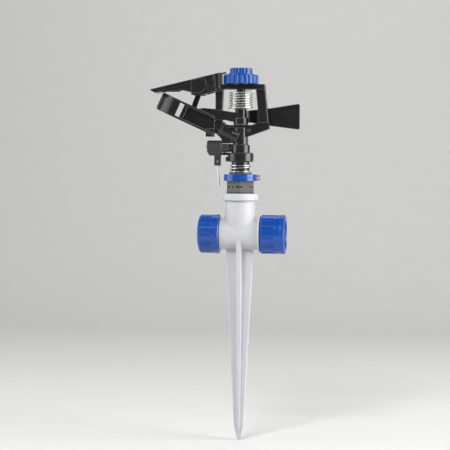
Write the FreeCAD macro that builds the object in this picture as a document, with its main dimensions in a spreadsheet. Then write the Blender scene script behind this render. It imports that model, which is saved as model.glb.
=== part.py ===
import FreeCAD, Part
import math
import os
import Sketcher
from FreeCAD import Placement, Rotation, Vector

# Impact sprinkler on a ground spike. Millimetres, +Z up, the spike's axis is Z,
# the origin is where the spike's ribs meet the ground, +X points at the hose inlet
# and the front of the sprinkler faces -Y.

DIMENSIONS = {
    # spike and T-shaped base
    "spike_length": 172.0,
    "spike_shank": 157.5,
    "rib_reach_top": 12.3,
    "rib_reach_low": 4.4,
    "rib_half_top": 2.3,
    "rib_half_low": 1.6,
    "tip_reach": 0.9,
    "barrel_axis": 14.4,
    "barrel_radius": 13.9,
    "barrel_left": 15.8,
    "barrel_right": 17.0,
    "shoulder_radius": 14.1,
    "flange_radius": 16.6,
    "barrel_bore": 9.6,
    "riser_radius": 13.5,
    "riser_bore": 9.4,
    "collar_radius": 16.1,
    "collar_low": 44.8,
    "collar_top": 51.1,
    "rib_top": 3.0,
    "rib_softness": 0.8,
    "gusset_peak": 9.0,
    # hose end and plugged end
    "thread_radius": 13.25,
    "port_length": 15.0,
    "cap_radius": 17.75,
    "cap_in": 18.1,
    "cap_out": 37.6,
    "coupling_radius": 17.8,
    "coupling_in": 18.7,
    "coupling_out": 41.3,
    "hose_thread_radius": 13.2,
    "washer_recess": 13.6,
    "recess_length": 5.8,
    "lip_thickness": 5.0,
    "tail_radius": 9.55,
    "tail_flange_radius": 12.6,
    "grip_count": 12,
    "grip_step": 0.3,
    "grip_radius": 2.2,
    "grip_out": 1.15,
    # bearing
    "nut_flats": 23.0,
    "nut_low": 51.75,
    "nut_top": 62.3,
    "nut_slot": 1.4,
    "nut_slot_floor": 10.9,
    "nut_slot_half": 2.9,
    "dimple_radius": 0.75,
    "neck_radius": 9.3,
    "neck_top": 68.4,
    "seat_radius": 10.3,
    "seat_top": 69.9,
    "nut_spigot": 9.3,
    "tube_radius": 6.6,
    "tube_bore": 4.8,
    "stop_radius": 15.1,
    "stop_low": 62.4,
    "stop_height": 2.85,
    "tab_root": 12.6,
    "tab_reach": 20.7,
    "tab_half": 1.4,
    "tab_angle": 44.0,
    "bearing_wire": 0.55,
    # rotating head
    "sleeve_radius": 8.05,
    "sleeve_low": 70.3,
    "step_low": 79.4,
    "step_radius": 11.7,
    "waist_low": 87.75,
    "waist_radius": 8.4,
    "top_low": 95.0,
    "top_radius": 6.6,
    "bridge_top": 112.5,
    "bridge_half": 5.0,
    "post_half": 4.5,
    "bar_low": 144.5,
    "bar_top": 149.0,
    "bar_half": 7.0,
    # water jet
    "jet_height": 100.9,
    "jet_angle": 24.5,
    "housing_radius": 6.1,
    "water_radius": 3.6,
    "nozzle_radius": 4.6,
    "ring_radius": 6.75,
    "ring_at": 18.2,
    "nozzle_seat_at": 12.0,
    "nozzle_end": 30.0,
    # drive arm
    "hub_radius": 5.15,
    "hub_foot_radius": 6.7,
    "hub_low": 113.4,
    "hub_top": 126.6,
    "pin_radius": 3.9,
    "beam_front": 8.3,
    "beam_back": 5.3,
    "weight_out": 52.5,
    "weight_back": 11.3,
    "channel_half": 8.05,
    "rail": 1.8,
    "rail_front": 12.5,
    "rail_back": 4.5,
    "tray_in": 22.8,
    "tray_out": 54.0,
    "window_in": 57.4,
    "bucket_in": 61.5,
    "bucket_radius": 21.7,
    "bucket_back": 4.75,
    "channel_out": 82.3,
    "coil_radius": 10.25,
    "coil_wire": 0.55,
    "coil_low": 127.6,
    "coil_top": 141.6,
    "coil_halves": 15,
    # distance flap and its knob
    "flap_pin_x": 26.7,
    "flap_pin_z": 145.4,
    "flap_pin_radius": 1.5,
    "flap_half": 9.5,
    "flap_wall": 1.5,
    "tongue_half": 7.0,
    "knob_radius": 15.85,
    "knob_low": 149.4,
    "knob_step": 157.5,
    "knob_small": 10.25,
    "knob_top": 163.5,
    "knob_post": 2.6,
    "flute_radius": 1.9,
    "flute_out": 0.95,
    "flute_count": 24,
    "small_flute_radius": 2.0,
    "small_flute_out": 1.1,
    "small_flute_count": 12,
    "screw_radius": 1.2,
    "groove_tilt": 12.6,
    # trip lever
    "trip_axis": 92.0,
    "pivot_radius": 1.5,
    "pivot_boss": 3.6,
    "trip_in": 17.3,
    "trip_out": 30.0,
    "trip_half": 5.0,
    "trip_neck": 3.85,
    "wire_x": 20.6,
    "wire_pivot": 79.8,
    "wire_length": 22.2,
    "wire_top_radius": 1.1,
    "wire_foot_radius": 0.5,
    "cup_low": 85.6,
    "cup_floor": 86.4,
    "trip_coil_x": 14.8,
    "trip_coil_y": 3.6,
    "trip_coil_radius": 1.2,
    "trip_coil_wire": 0.25,
    # running and standing gaps
    "fit_gap": 0.06,
}

doc = FreeCAD.newDocument("ImpactSprinkler")
sheet = doc.addObject("Spreadsheet::Sheet", "Dims")
for row, (word, value) in enumerate(DIMENSIONS.items(), start=1):
    sheet.set("A%d" % row, word)
    sheet.set("B%d" % row, "%g" % value)
    sheet.setAlias("B%d" % row, word)
doc.recompute()


class Size:
    """A length: the expression that works it out from the sheet, and its value now."""

    def __init__(self, text, value):
        self.text = text
        self.value = value

    def __add__(self, other):
        other = size(other)
        return Size("(%s + %s)" % (self.text, other.text), self.value + other.value)

    def __sub__(self, other):
        other = size(other)
        return Size("(%s - %s)" % (self.text, other.text), self.value - other.value)

    def __mul__(self, other):
        other = size(other)
        return Size("(%s * %s)" % (self.text, other.text), self.value * other.value)

    def __truediv__(self, other):
        other = size(other)
        return Size("(%s / %s)" % (self.text, other.text), self.value / other.value)

    def __neg__(self):
        return size(0.0) - self


def size(what):
    """A Size from a sheet word, a plain number or a Size."""
    if isinstance(what, Size):
        return what
    if isinstance(what, str):
        return Size("Dims." + what, DIMENSIONS[what])
    return Size("%.6g" % what, float(what))


def bind(thing, prop, what):
    """Drive one property of an object by an expression of the sheet."""
    thing.setExpression(prop, size(what).text)


def place(thing, x, y, z):
    """Drive an object's position by expressions, leaving its rotation alone."""
    bind(thing, "Placement.Base.x", x)
    bind(thing, "Placement.Base.y", y)
    bind(thing, "Placement.Base.z", z)
    return thing


JET_SINE = 0.414693
JET_COSINE = 0.909961

# Directions that a cylinder, cone or prism can point in.
UP = Rotation()
CORNER_FRONT = Rotation(Vector(0, 0, 1), 30)
ALONG_X = Rotation(Vector(0, 1, 0), 90)
ALONG_Y = Rotation(Vector(1, 0, 0), -90)
ACROSS_JET = Rotation(Vector(0, 1, 0), DIMENSIONS["jet_angle"])
ALONG_JET = Rotation(Vector(0, 1, 0), DIMENSIONS["jet_angle"] - 90)


def cylinder(name, radius, length, at, way=UP):
    """A cylinder that starts at a point and runs along way."""
    thing = doc.addObject("Part::Cylinder", name)
    thing.Placement = Placement(Vector(), way)
    bind(thing, "Radius", radius)
    bind(thing, "Height", length)
    return place(thing, *at)


def cone(name, radius_start, radius_end, length, at, way=UP):
    """A cone frustum that starts at a point and runs along way."""
    thing = doc.addObject("Part::Cone", name)
    thing.Placement = Placement(Vector(), way)
    bind(thing, "Radius1", radius_start)
    bind(thing, "Radius2", radius_end)
    bind(thing, "Height", length)
    return place(thing, *at)


def box(name, low, high, turn=UP):
    """A box between two opposite corners, given before it is turned about its low corner."""
    thing = doc.addObject("Part::Box", name)
    thing.Placement = Placement(Vector(), turn)
    for prop, start, end in zip(("Length", "Width", "Height"), low, high):
        bind(thing, prop, size(end) - start)
    return place(thing, *low)


def on_jet(along, above):
    """X and Z of a point a distance out along the jet's axis and a distance above it."""
    along, above = size(along), size(above)
    x = above * JET_SINE - along * JET_COSINE
    z = size("jet_height") + along * JET_SINE + above * JET_COSINE
    return x, z


def jet_cylinder(name, radius, start, end):
    """A cylinder on the jet's axis, between two distances from the head's axis."""
    x, z = on_jet(start, 0.0)
    return cylinder(name, radius, size(end) - start, (x, 0, z), ALONG_JET)


def jet_cone(name, radius_start, radius_end, start, end):
    """A cone frustum on the jet's axis, between two distances from the head's axis."""
    x, z = on_jet(start, 0.0)
    return cone(name, radius_start, radius_end, size(end) - start, (x, 0, z), ALONG_JET)


def jet_box(name, above, across, along):
    """A box lined up with the jet: its ranges above the jet, across it and out along it."""
    thing = doc.addObject("Part::Box", name)
    thing.Placement = Placement(Vector(), ALONG_JET)
    for prop, (low, high) in zip(("Length", "Width", "Height"), (above, across, along)):
        bind(thing, prop, size(high) - low)
    x, z = on_jet(along[0], above[0])
    return place(thing, x, across[0], z)


def hexagon(name, flats, length, at, way=UP):
    """A six-sided prism, given across its flats."""
    thing = doc.addObject("Part::Prism", name)
    thing.Polygon = 6
    thing.Placement = Placement(Vector(), way)
    bind(thing, "Circumradius", size(flats) / 1.7320508)
    bind(thing, "Height", length)
    return place(thing, *at)


def ring(name, centre_radius, wire_radius, at, way=UP):
    """A torus round way."""
    thing = doc.addObject("Part::Torus", name)
    thing.Placement = Placement(Vector(), way)
    bind(thing, "Radius1", centre_radius)
    bind(thing, "Radius2", wire_radius)
    return place(thing, *at)


def fuse(name, *things):
    """One solid from several that overlap."""
    whole = doc.addObject("Part::MultiFuse", name)
    whole.Shapes = list(things)
    return whole


def cut(name, base, *tools):
    """A solid with the tools taken out of it, one after another."""
    for count, tool in enumerate(tools, start=1):
        result = doc.addObject("Part::Cut", name if count == len(tools) else "%s_cut%d" % (name, count))
        result.Base = base
        result.Tool = tool
        base = result
    return base


def overlap(name, first, second):
    """What two solids share."""
    common = doc.addObject("Part::Common", name)
    common.Base = first
    common.Tool = second
    return common


def rounded(name, base, radius, wanted):
    """A solid with the edges that pass the test filleted."""
    doc.recompute()
    edges = [count for count, edge in enumerate(base.Shape.Edges, start=1) if wanted(edge)]
    fillet = doc.addObject("Part::Fillet", name)
    fillet.Base = base
    fillet.Edges = [(count, radius, radius) for count in edges]
    return fillet


def outline_sketch(body, name, plane, points):
    """A closed sketch of straight lines whose every corner is driven by the sheet."""
    sketch = body.newObject("Sketcher::SketchObject", name)
    origin_plane = [item for item in body.Origin.OriginFeatures if item.Role == plane][0]
    sketch.AttachmentSupport = [(origin_plane, "")]
    sketch.MapMode = "FlatFace"
    corners = [(size(u), size(v)) for u, v in points]
    count = len(corners)
    for start in range(count):
        here, there = corners[start], corners[(start + 1) % count]
        first = Vector(here[0].value, here[1].value, 0)
        last = Vector(there[0].value, there[1].value, 0)
        sketch.addGeometry(Part.LineSegment(first, last), False)
    for start in range(count):
        sketch.addConstraint(Sketcher.Constraint("Coincident", start, 2, (start + 1) % count, 1))
    for start, corner in enumerate(corners):
        for kind, distance in zip(("DistanceX", "DistanceY"), corner):
            number = sketch.addConstraint(
                Sketcher.Constraint(kind, -1, 1, start, 1, distance.value)
            )
            sketch.setExpression("Constraints[%d]" % number, distance.text)
    return sketch


def turned(name, points, plane="XZ_Plane", axis="V_Axis"):
    """A PartDesign body made by turning a half-section about the sketch's own axis."""
    body = doc.addObject("PartDesign::Body", name)
    sketch = outline_sketch(body, name + "_section", plane, points)
    turn = body.newObject("PartDesign::Revolution", name + "_turn")
    turn.Profile = sketch
    turn.ReferenceAxis = (sketch, [axis])
    turn.Angle = 360
    return body


def padded(name, plane, points, depth):
    """A PartDesign body: an outline padded to both sides of its plane."""
    body = doc.addObject("PartDesign::Body", name)
    sketch = outline_sketch(body, name + "_outline", plane, points)
    pad = body.newObject("PartDesign::Pad", name + "_pad")
    pad.Profile = sketch
    pad.SideType = "Symmetric"
    bind(pad, "Length", depth)
    return body


def coil(name, radius, wire, low, top, half_turns, centre=(0.0, 0.0)):
    """A round wire wound about an upright axis, as half turns that each climb on a tilted plane."""
    radius, low = size(radius), size(low)
    rise = (size(top) - low) / half_turns
    tilt = math.degrees(math.asin(rise.value / 2.0 / radius.value))
    halves = []
    for count in range(half_turns):
        half = doc.addObject("Part::Torus", "%s_%d" % (name, count))
        side = Rotation(Vector(0, 1, 0), tilt)
        if count % 2:
            side = side.inverted() * Rotation(Vector(0, 0, 1), 180)
        half.Placement = Placement(Vector(), side)
        half.Angle3 = 180
        bind(half, "Radius1", radius)
        bind(half, "Radius2", wire)
        place(half, centre[0], centre[1], low + rise * (count + 0.5))
        halves.append(half)
    return fuse(name, *halves)


def round_about(name, make, count, first_angle=0.0):
    """Tools made by make(name, angle) at equal steps round a circle, as one object."""
    step = 360.0 / count
    return fuse(name, *[make("%s_%d" % (name, turn), first_angle + step * turn) for turn in range(count)])


NODES = {}


def node(name, thing):
    """Name a finished sub-part: its label is its file's name."""
    thing.Label = name
    NODES[name] = thing
    return thing


# ---------------------------------------------------------------- base


def spike_cross(name, plane):
    """One full blade of the spike, two opposite ribs, tapered from the ground line to the tip."""
    outline = [
        (-size("rib_reach_top"), "rib_top"),
        (-size("rib_reach_top"), 0.0),
        (-size("rib_reach_low"), -size("spike_shank")),
        (-size("tip_reach"), -size("spike_length")),
        (size("tip_reach"), -size("spike_length")),
        (size("rib_reach_low"), -size("spike_shank")),
        (size("rib_reach_top"), 0.0),
        (size("rib_reach_top"), "rib_top"),
    ]
    thickness = [
        (-size("rib_half_top"), "rib_top"),
        (-size("rib_half_low"), -size("spike_shank")),
        (-size("tip_reach"), -size("spike_length")),
        (size("tip_reach"), -size("spike_length")),
        (size("rib_half_low"), -size("spike_shank")),
        (size("rib_half_top"), "rib_top"),
    ]
    wide = size("rib_reach_top") * 3.0
    other_plane = "YZ_Plane" if plane == "XZ_Plane" else "XZ_Plane"
    blade = overlap(
        name,
        padded(name + "_face", plane, outline, wide),
        padded(name + "_edge", other_plane, thickness, wide),
    )
    return rounded(name + "_soft", blade, DIMENSIONS["rib_softness"], lambda edge: edge.Length > 100.0)


def make_spike():
    """The cross-ribbed spike, up to where its ribs run into the cross barrel."""
    across = spike_cross("rib_across", "XZ_Plane")
    along = spike_cross("rib_along", "YZ_Plane")
    peak = size("gusset_peak")
    reach = size("rib_reach_top")
    gusset = padded(
        "rib_peak",
        "YZ_Plane",
        [(-reach, 0.0), (reach, 0.0), (reach, "rib_top"), (size("barrel_radius") - 0.8, peak),
         (-size("barrel_radius") + 0.8, peak), (-reach, "rib_top")],
        size("rib_half_top") * 2.0,
    )
    barrel_room = cylinder(
        "spike_barrel_room", "barrel_radius", 80.0, (-40.0, 0, "barrel_axis"), ALONG_X
    )
    return node("spike", cut("spike_done", fuse("spike_solid", across, along, gusset), barrel_room))


def make_base_tee():
    """The moulded T on top of the spike: cross barrel, riser and collar, with the water ways bored out."""
    axis = size("barrel_axis")
    barrel = cylinder(
        "barrel", "barrel_radius", size("barrel_left") + "barrel_right",
        (-size("barrel_left"), 0, axis), ALONG_X,
    )
    riser = cylinder("riser", "riser_radius", size("collar_top") - axis, (0, 0, axis))
    body = rounded(
        "base_saddle", fuse("base_tee", barrel, riser), 3.0,
        lambda edge: edge.BoundBox.XLength > 20.0 and edge.BoundBox.ZLength > 5.0,
    )
    collar = rounded(
        "base_collar",
        cylinder("collar_blank", "collar_radius", size("collar_top") - "collar_low", (0, 0, "collar_low")),
        0.9, lambda edge: edge.Length > 50.0,
    )
    port_shoulder = cone(
        "port_shoulder", "shoulder_radius", "barrel_radius", size("cap_in") - 0.3 - "barrel_left",
        (-size("cap_in") + 0.3, 0, axis), ALONG_X,
    )
    port = cylinder(
        "cap_port", "thread_radius", "port_length", (-size("cap_in") - "port_length", 0, axis), ALONG_X
    )
    port_root = cylinder(
        "port_root", "thread_radius", 4.0, (-size("cap_in") - 1.0, 0, axis), ALONG_X
    )
    flange = cylinder("hose_flange", "flange_radius", 1.4, (size("barrel_right") - 0.1, 0, axis), ALONG_X)
    solid = fuse("base_solid", body, collar, port_shoulder, port, port_root, flange)
    through = cylinder(
        "base_through", "barrel_bore", size("cap_in") + "port_length" + 40.0,
        (-size("cap_in") - "port_length" - 1.0, 0, axis), ALONG_X,
    )
    up = cylinder("base_up", "riser_bore", size("collar_top") - axis + 1.0, (0, 0, axis))
    bored = cut("base_bored", solid, through, up)
    return node("base_tee", bored)


def make_tailpiece():
    """The flanged tube fixed in the base that holds the hose coupling and lets it swivel."""
    inner = size("coupling_in") - 12.0
    lip_end = size("coupling_in") + "lip_thickness"
    section = [
        (inner, 7.6), (lip_end + 2.4, 7.6), (lip_end + 2.4, "tail_flange_radius"),
        (lip_end + 0.3, "tail_flange_radius"), (lip_end + 0.3, "tail_radius"), (inner, "tail_radius"),
    ]
    return node("swivel_tailpiece", shifted_up(turned("tailpiece", section, axis="H_Axis")))


def shifted_up(body):
    """Lift a body that was turned about X to the cross barrel's height."""
    bind(body, "Placement.Base.z", "barrel_axis")
    return body


def grip_scoops(name, radius, open_end, closed_end, first_angle):
    """Lengthwise scoops for the fingers round a part on the cross barrel, each with a round closed end."""
    low, high = (open_end, closed_end) if open_end.value < closed_end.value else (closed_end, open_end)
    reach = size(radius) - "grip_step" + "grip_out"

    def scoop(label, angle):
        turn = Rotation(Vector(1, 0, 0), angle)
        at = turn.multVec(Vector(0, 0, 1))
        across = (reach * at.y, reach * at.z + "barrel_axis")
        trough = cylinder(label + "_trough", "grip_radius", high - low, (low, *across), ALONG_X)
        end = doc.addObject("Part::Sphere", label + "_end")
        bind(end, "Radius", "grip_radius")
        place(end, closed_end, *across)
        return fuse(label, trough, end)
    return round_about(name, scoop, DIMENSIONS["grip_count"], first_angle)


def make_coupling():
    """The female hose swivel: grips outside, hose thread bore, an inner lip round the tailpiece."""
    start, end = size("coupling_in"), size("coupling_out")
    lip_end = start + "lip_thickness"
    bore = size("hose_thread_radius")
    outer = size("coupling_radius")
    grip = outer - "grip_step"
    section = [
        (start, size("tail_radius") + "fit_gap"), (start, outer - 1.9), (start + 1.4, grip),
        (end - 4.2, grip), (end - 3.6, outer), (end - 0.9, outer), (end, outer - 1.2),
        (end, bore + 0.9), (end - 0.9, bore), (lip_end + "recess_length", bore),
        (lip_end + "recess_length", "washer_recess"), (lip_end, "washer_recess"),
        (lip_end, size("tail_radius") + "fit_gap"),
    ]
    shell = shifted_up(turned("coupling_shell", section, axis="H_Axis"))
    scoops = grip_scoops("coupling_scoops", "coupling_radius", start - 3.0, end - 10.6, 7.0)
    return node("swivel_coupling", cut("coupling_solid", shell, scoops))


def washer(name, axis, inner, outer, low, high):
    """A flat ring about Z or about the cross barrel."""
    if axis == "Z":
        section = [(inner, low), (outer, low), (outer, high), (inner, high)]
        return node(name, turned(name + "_body", section))
    section = [(low, inner), (low, outer), (high, outer), (high, inner)]
    return node(name, shifted_up(turned(name + "_body", section, axis="H_Axis")))


def make_cap():
    """The screw cap that closes the base's far port, with a domed end."""
    start, end = -size("cap_in"), -size("cap_out")
    outer = size("cap_radius")
    grip = outer - "grip_step"
    bore = size("thread_radius") + 0.15
    floor = start - "port_length" - 1.9
    section = [
        (start, bore + 0.8), (start, outer - 0.8), (start - 0.8, outer), (start - 3.0, outer),
        (start - 3.6, grip), (end + 2.6, grip), (end + 0.9, outer - 2.2), (end, outer - 5.6),
        (end, 0.0), (floor, 0.0), (floor, bore), (start - 0.8, bore),
    ]
    shell = shifted_up(turned("cap_shell", section, axis="H_Axis"))
    scoops = grip_scoops("cap_scoops", "cap_radius", end - 3.0, start - 7.6, -2.0)
    return node("end_cap", cut("cap_solid", shell, scoops))


# ---------------------------------------------------------------- bearing


def make_bearing_nut():
    """The hex bearing nut: spigot in the riser, hex, neck for the stop rings and spring seat."""
    flats = hexagon("nut_hex", "nut_flats", size("nut_top") - "nut_low", (0, 0, "nut_low"), CORNER_FRONT)
    corner_cut = turned(
        "nut_corner_limit",
        [(0.0, size("nut_low") - 0.1), (12.2, size("nut_low") - 0.1), (13.1, size("nut_low") + 0.7),
         (13.1, size("nut_top") - 0.7), (12.2, size("nut_top") + 0.1), (0.0, size("nut_top") + 0.1)],
    )
    trimmed = overlap("nut_trimmed", flats, corner_cut)
    spigot = cylinder(
        "nut_spigot_part", size("riser_bore") - 0.05, size("nut_spigot") + 0.5,
        (0, 0, size("nut_low") - "nut_spigot"),
    )
    neck = cylinder("nut_neck", "neck_radius", size("seat_top") - "nut_top", (0, 0, "nut_top"))
    seat = cylinder("nut_seat", "seat_radius", size("seat_top") - "neck_top", (0, 0, "neck_top"))
    solid = fuse("nut_solid", trimmed, spigot, neck, seat)
    bore = cylinder(
        "nut_bore", size("tube_radius") + "fit_gap", size("nut_spigot") + 22.0,
        (0, 0, size("nut_low") - "nut_spigot" - 1.0),
    )
    middle = (size("nut_low") + "nut_top") / 2.0

    def slot(label, angle):
        thing = doc.addObject("Part::Box", label)
        turn = Rotation(Vector(0, 0, 1), angle)
        corner = turn.multVec(Vector(DIMENSIONS["nut_slot_floor"], -DIMENSIONS["nut_slot_half"], 0))
        thing.Placement = Placement(Vector(corner.x, corner.y, 0), turn)
        bind(thing, "Length", 4.0)
        bind(thing, "Width", size("nut_slot_half") * 2.0)
        bind(thing, "Height", "nut_slot")
        bind(thing, "Placement.Base.z", middle - size("nut_slot") / 2.0)
        return thing

    def dimple(label, angle):
        thing = doc.addObject("Part::Cylinder", label)
        turn = Rotation(Vector(0, 0, 1), angle)
        at = turn.multVec(Vector(DIMENSIONS["nut_flats"] / 2.0 - 0.9, 0, 0))
        thing.Placement = Placement(Vector(at.x, at.y, 0), turn * ALONG_X)
        bind(thing, "Radius", "dimple_radius")
        bind(thing, "Height", 2.0)
        bind(thing, "Placement.Base.z", middle)
        return thing

    slots = round_about("nut_slots", slot, 6, first_angle=30.0)
    dimples = round_about("nut_dimples", dimple, 3)
    return node("bearing_nut", cut("nut_done", solid, bore, slots, dimples))


def make_stop_collar(level, low):
    """A split friction ring that snaps on the nut's neck, and the black stop tab set in it."""
    low, height = size(low), size("stop_height")
    name = "stop_collar_" + level
    turn = Rotation(Vector(0, 0, 1), DIMENSIONS["tab_angle"])
    half = size("tab_half")
    outer = cylinder(name + "_outer", "stop_radius", height, (0, 0, low))
    bore = cylinder(name + "_bore", size("neck_radius") + 0.15, height + 2.0, (0, 0, low - 1.0))
    mouth = box(
        name + "_mouth", (0, half + 0.8, low - 1.0), (size("stop_radius") + 2.0, 7.0, low + height + 1.0)
    )
    socket = box(
        name + "_socket", ("tab_root", -half, low + 0.35), (30.0, half, low + height - 0.35)
    )
    collar = cut(name + "_cut", outer, bore, mouth, socket)
    collar.Placement = Placement(Vector(), turn)
    node(name, collar)
    blade = box(
        name + "_blade", (size("tab_root") + 0.02, -half + 0.02, low + 0.37),
        ("tab_reach", half - 0.02, low + height - 0.37),
    )
    head = cylinder(
        name + "_tip", size(height) / 2.0 - 0.38, half * 2.0 + 0.4,
        ("tab_reach", -half - 0.2, low + height / 2.0), ALONG_Y,
    )
    tab = fuse(name + "_tab", blade, head)
    tab.Placement = Placement(Vector(), turn)
    return node("stop_tab_" + level, tab)


def flute(name, angle, centre_radius, radius, low, length):
    """An upright cylinder at an angle round Z, used to cut or add a flute."""
    thing = doc.addObject("Part::Cylinder", name)
    at = Rotation(Vector(0, 0, 1), angle).multVec(Vector(1, 0, 0))
    bind(thing, "Radius", radius)
    bind(thing, "Height", length)
    return place(thing, size(centre_radius) * at.x, size(centre_radius) * at.y, low)


def make_bearing_tube():
    """The flanged tube that hangs in the nut, carries the head and leads the water up."""
    low = size("nut_low") - "nut_spigot" - 4.0
    section = [
        ("tube_bore", low), (8.8, low), (8.8, low + 2.0), ("tube_radius", low + 2.0),
        ("tube_radius", 86.0), ("tube_bore", 86.0),
    ]
    return node("bearing_tube", turned("tube_body", section))


# ---------------------------------------------------------------- head


def head_column():
    """The stepped column of the head, turned about Z."""
    inner = size("tube_radius")
    return turned("column", [
        (0.0, 87.0), (inner, 87.0), (inner, "sleeve_low"), ("sleeve_radius", "sleeve_low"),
        ("sleeve_radius", "step_low"), (size("step_radius") - 0.8, "step_low"),
        ("step_radius", size("step_low") + 0.8), ("step_radius", size("waist_low") - 0.8),
        (size("step_radius") - 0.8, "waist_low"), ("waist_radius", "waist_low"),
        ("waist_radius", size("top_low") - 0.6), (size("waist_radius") - 0.6, "top_low"),
        ("top_radius", "top_low"), ("top_radius", 110.0), (0.0, 110.0),
    ])


def head_bridge():
    """The bridge seen from the front: crossbar, two posts and the bar that holds the knob."""
    bar_low, bar_top, deck = size("bar_low"), size("bar_top"), size("bridge_top")
    crossbar = padded("crossbar", "XZ_Plane", [
        (4.5, 101.3), (26.0, 109.0), (25.9, 115.0), (16.6, 114.9), (10.0, deck), (-16.2, deck),
        (-16.2, 116.0), (-22.4, 116.0), (-22.4, 112.0), (-16.2, 110.2), (-6.0, 110.2), (-4.5, 101.3),
    ], size("bridge_half") * 2.0)
    right_post = padded("right_post", "XZ_Plane", [
        (15.7, 113.0), (26.0, 109.0), (21.8, bar_top), (13.7, bar_top), (13.7, bar_low), (15.6, 126.0),
    ], size("post_half") * 2.0)
    left_post = padded("left_post", "XZ_Plane", [
        (-22.6, 112.0), (-16.2, 112.0), (-16.4, 127.0), (-15.6, bar_low), (-15.6, bar_top), (-22.8, bar_top),
    ], size("post_half") * 2.0)
    top_bar = padded("top_bar", "XZ_Plane", [
        (-23.4, bar_low), (21.9, bar_low), (21.4, bar_top), (-23.4, bar_top),
    ], size("bar_half") * 2.0)
    posts = [rounded(post.Name + "_soft", post, 1.2, long_edge) for post in (right_post, left_post)]
    return fuse("bridge", crossbar, top_bar, *posts)


def long_edge(edge):
    """A post's long edges, on its front and back faces."""
    return edge.BoundBox.YLength < 0.01 and edge.Length > 15.0


def flap_bracket():
    """The tongue that the distance flap hangs from, and the pointer over the knob's rim."""
    pin_z = size("flap_pin_z")
    pin_x = -size("flap_pin_x")
    tongue = padded("tongue", "XZ_Plane", [
        (pin_x - 3.0, pin_z - 1.5), (pin_x, pin_z - 3.2), (-20.0, 142.6), (-17.0, 142.6),
        (-17.0, "bar_top"), (pin_x + 1.0, "bar_top"), (pin_x - 3.0, pin_z + 2.4),
    ], size("tongue_half") * 2.0)
    pointer = padded("pointer", "XZ_Plane", [
        (-23.6, 148.0), (-17.0, 148.0), (-17.0, 158.2), (-13.8, 158.6), (-13.6, 160.0), (-23.0, 157.9),
    ], size("tongue_half") * 1.6)
    return fuse("flap_bracket", tongue, pointer)


def nozzle_barrel():
    """The housing that carries the nozzle up and out at the jet's angle."""
    barrel = jet_cylinder("jet_barrel", "housing_radius", 0.0, "ring_at")
    root = jet_cone("jet_root", 7.8, "housing_radius", 2.0, 9.0)
    collar = jet_cylinder("jet_collar", "ring_radius", "ring_at", size("ring_at") + 2.0)
    second = jet_cylinder("jet_ridge", 5.9, size("ring_at") + 1.0, size("ring_at") + 5.4)
    return fuse("jet_housing", barrel, root, collar, second)


def trip_bracket():
    """What carries the trip lever: the web under the nozzle, the pivot's boss and the spring's cup."""
    side = padded("web_side", "XZ_Plane", [
        (-16.9, 96.0), (-16.9, 99.9), (-18.6, 101.2), (-18.6, 104.4), (-6.0, 104.4), (-6.0, 96.0),
    ], 30.0)
    section = padded("web_section", "YZ_Plane", [
        (-4.4, 97.3), (0.0, 96.2), (4.4, 97.3), (4.4, 106.0), (-4.4, 106.0),
    ], 60.0)
    web = overlap("trip_web", side, section)
    boss = cylinder("trip_boss", "pivot_boss", 3.3, (-10.25, 0, "trip_axis"), ALONG_X)
    low, floor = size("cup_low"), size("cup_floor")
    cup_floor = box("cup_floor_plate", (-16.9, 1.2, low), (-9.6, 5.4, floor))
    cup_wall = box("cup_wall", (-16.9, 1.2, low), (-9.6, 1.9, 87.75))
    stop_rib = box("stop_rib", (-13.4, -1.2, 79.8), (-11.0, 1.2, 83.9))
    return fuse("trip_bracket", web, boss, cup_floor, cup_wall, stop_rib)


def frame_bead():
    """The small raised ring on the front of the crossbar."""
    front = -size("bridge_half")
    outer = cylinder("bead_outer", 1.35, 1.2, (7.7, front - 0.6, 107.6), ALONG_Y)
    inner = cylinder("bead_inner", 0.7, 1.2, (7.7, front - 0.7, 107.6), ALONG_Y)
    return cut("frame_bead", outer, inner)


def make_head_body():
    """The rotating head's moulded body: column, bridge, flap bracket and nozzle housing."""
    knob_post = cylinder("knob_post_part", "knob_post", 7.5, (0, 0, size("bar_top") - 1.0))
    solid = fuse(
        "head_solid", head_column(), head_bridge(), flap_bracket(), nozzle_barrel(), trip_bracket(),
        frame_bead(), knob_post,
    )
    water_up = cylinder("water_up", "tube_bore", 20.0, (0, 0, 84.0))
    water_out = jet_cylinder("water_out", "water_radius", 0.0, 40.0)
    seat = jet_cylinder("nozzle_socket", size("nozzle_radius") + 0.02, "nozzle_seat_at", 42.0)
    pin_hole = cylinder("fulcrum_hole", "pin_radius", 38.5, (0, 0, size("bridge_top") - 3.5))
    screw_hole = cylinder("knob_screw_hole", "screw_radius", 6.0, (0, 0, size("bar_top") + 1.0))
    flap_hole = cylinder(
        "flap_pin_hole", size("flap_pin_radius") + 0.05, 30.0, (-size("flap_pin_x"), -15.0, "flap_pin_z"),
        ALONG_Y,
    )
    finger_slot = box("finger_slot", (-32.0, -1.6, 146.9), (-6.2, 1.6, 149.7))
    finger_relief = box("finger_relief", (-25.0, -1.6, 144.0), (-6.2, 1.6, 148.0))
    trip_hole = cylinder("trip_pin_hole", "pivot_radius", 8.4, (-14.0, 0, "trip_axis"), ALONG_X)
    done = cut(
        "head_done", solid, water_up, water_out, seat, pin_hole, screw_hole, flap_hole,
        finger_slot, finger_relief, trip_hole,
    )
    return node("head_body", done)


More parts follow.
